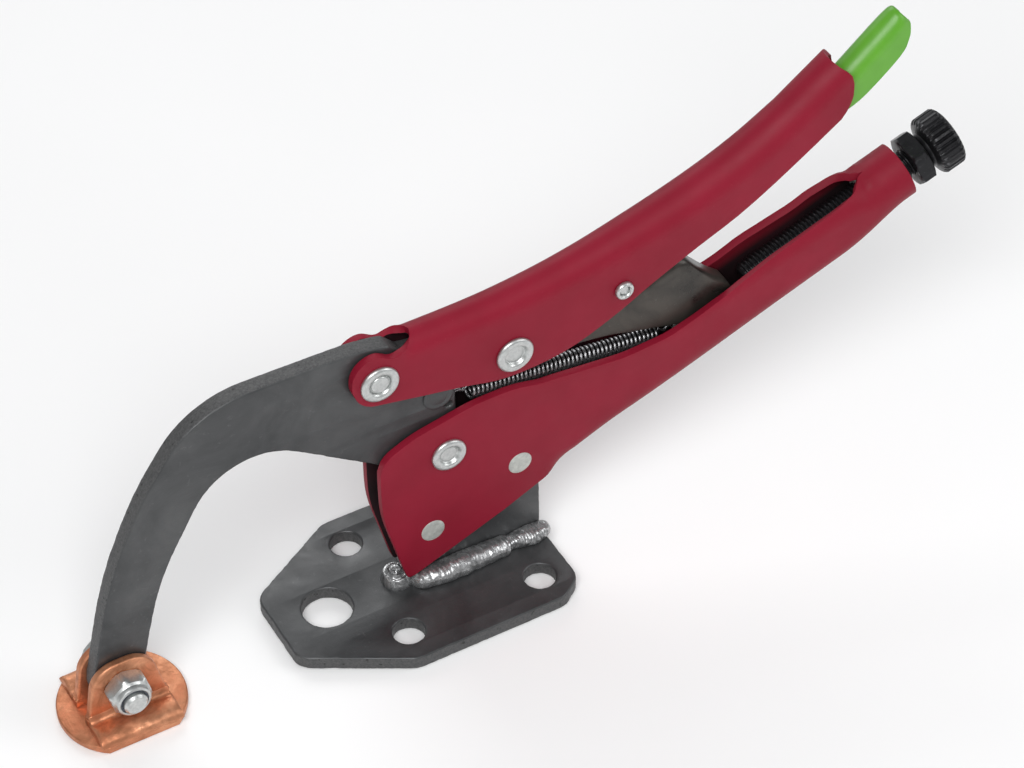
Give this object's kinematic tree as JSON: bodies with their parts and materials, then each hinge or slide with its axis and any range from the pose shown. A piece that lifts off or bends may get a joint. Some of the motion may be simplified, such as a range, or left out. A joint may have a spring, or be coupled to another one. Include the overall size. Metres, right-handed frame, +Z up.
{
  "type": "welding ground clamp",
  "caption": "Bench-mounted locking ground clamp: a toggle handle pair on a drilled base plate swings a curved steel arm with a swivelling copper contact pad.",
  "frame": {"origin": "centre of the four fixing holes, on the underside of the base plate", "axes": "+X along the clamp towards the handle ends and the adjusting knob, -X towards the copper pad, +Z up from the bench, Y across the clamp"},
  "size_m": [0.328, 0.068, 0.1668],
  "materials": {
    "crimson_coat": "satin powder coat",
    "dark_steel": "dark oiled steel plate",
    "weld_metal": "rippled weld",
    "plain_steel": "plain steel",
    "zinc": "bright zinc plate",
    "black_oxide": "black oxide",
    "black_link": "black",
    "green_dip": "glossy dipped vinyl",
    "copper": "satin copper",
    "spring_wire": "spring wire"
  },
  "bodies": {
    "base": {"base_plate": "dark_steel", "upright_web": "dark_steel", "weld_bead_near": "weld_metal", "weld_bead_far": "weld_metal", "weld_tack": "weld_metal", "fixed_handle": "crimson_coat", "web_rivet_front": "plain_steel", "web_rivet_rear": "plain_steel", "arm_pivot_rivet": "zinc", "spring_anchor_tab": "plain_steel", "screw_insert": "plain_steel", "tension_spring": "spring_wire"},
    "arm": {"jaw_arm": "dark_steel", "spring_pin": "black_oxide"},
    "upper_handle": {"upper_handle": "crimson_coat", "handle_pivot_rivet": "zinc", "link_pivot_rivet": "zinc", "release_rivet": "zinc"},
    "link": {"toggle_link": "black_link"},
    "release_lever": {"release_lever": "plain_steel", "lever_grip": "green_dip"},
    "pad": {"pad_disc": "copper", "pad_ear_near": "copper", "pad_ear_far": "copper", "pad_bolt": "zinc", "pad_bolt_nut": "zinc"},
    "lock_nut": {"lock_nut": "black_oxide"},
    "screw": {"adjusting_screw": "black_oxide", "adjusting_knob": "black_oxide"}
  },
  "joints": [
    {"name": "arm_swing", "type": "hinge", "parent": "base", "child": "arm", "pos_m": [0.0005, 0, 0.059], "axis": [0, 1, 0], "range_deg": [0, 20], "deforming": ["tension_spring"]},
    {"name": "handle_turn", "type": "hinge", "parent": "arm", "child": "upper_handle", "pos_m": [-0.022, 0, 0.1005], "axis": [0, 1, 0], "range_deg": [-52, 0]},
    {"name": "link_turn", "type": "hinge", "parent": "upper_handle", "child": "link", "pos_m": [0.0245, 0, 0.091], "axis": [0, 1, 0], "range_deg": [0, 56]},
    {"name": "lever_press", "type": "hinge", "parent": "upper_handle", "child": "release_lever", "pos_m": [0.063, 0, 0.101], "axis": [0, 1, 0], "range_deg": [0, 6], "stiffness_Nm_per_rad": 0.3, "springref_deg": -8.59},
    {"name": "pad_swivel", "type": "hinge", "parent": "arm", "child": "pad", "pos_m": [-0.115, 0, 0.015], "axis": [0, 1, 0], "range_deg": [-20, 20]},
    {"name": "screw_travel", "type": "slide", "parent": "base", "child": "lock_nut", "axis": [0.9397, 0, 0.342], "range_m": [0, 0.015]},
    {"name": "screw_turn", "type": "hinge", "parent": "lock_nut", "child": "screw", "pos_m": [0.1705, 0, 0.099], "axis": [0.9397, 0, 0.342], "range_deg": [0, 3601]}
  ],
  "couplings": [
    {"joint": "handle_turn", "follows": "arm_swing", "ratio": -2.552},
    {"joint": "link_turn", "follows": "arm_swing", "ratio": 2.7658},
    {"joint": "screw_turn", "follows": "screw_travel", "rad_per_m": 4188.8}
  ]
}
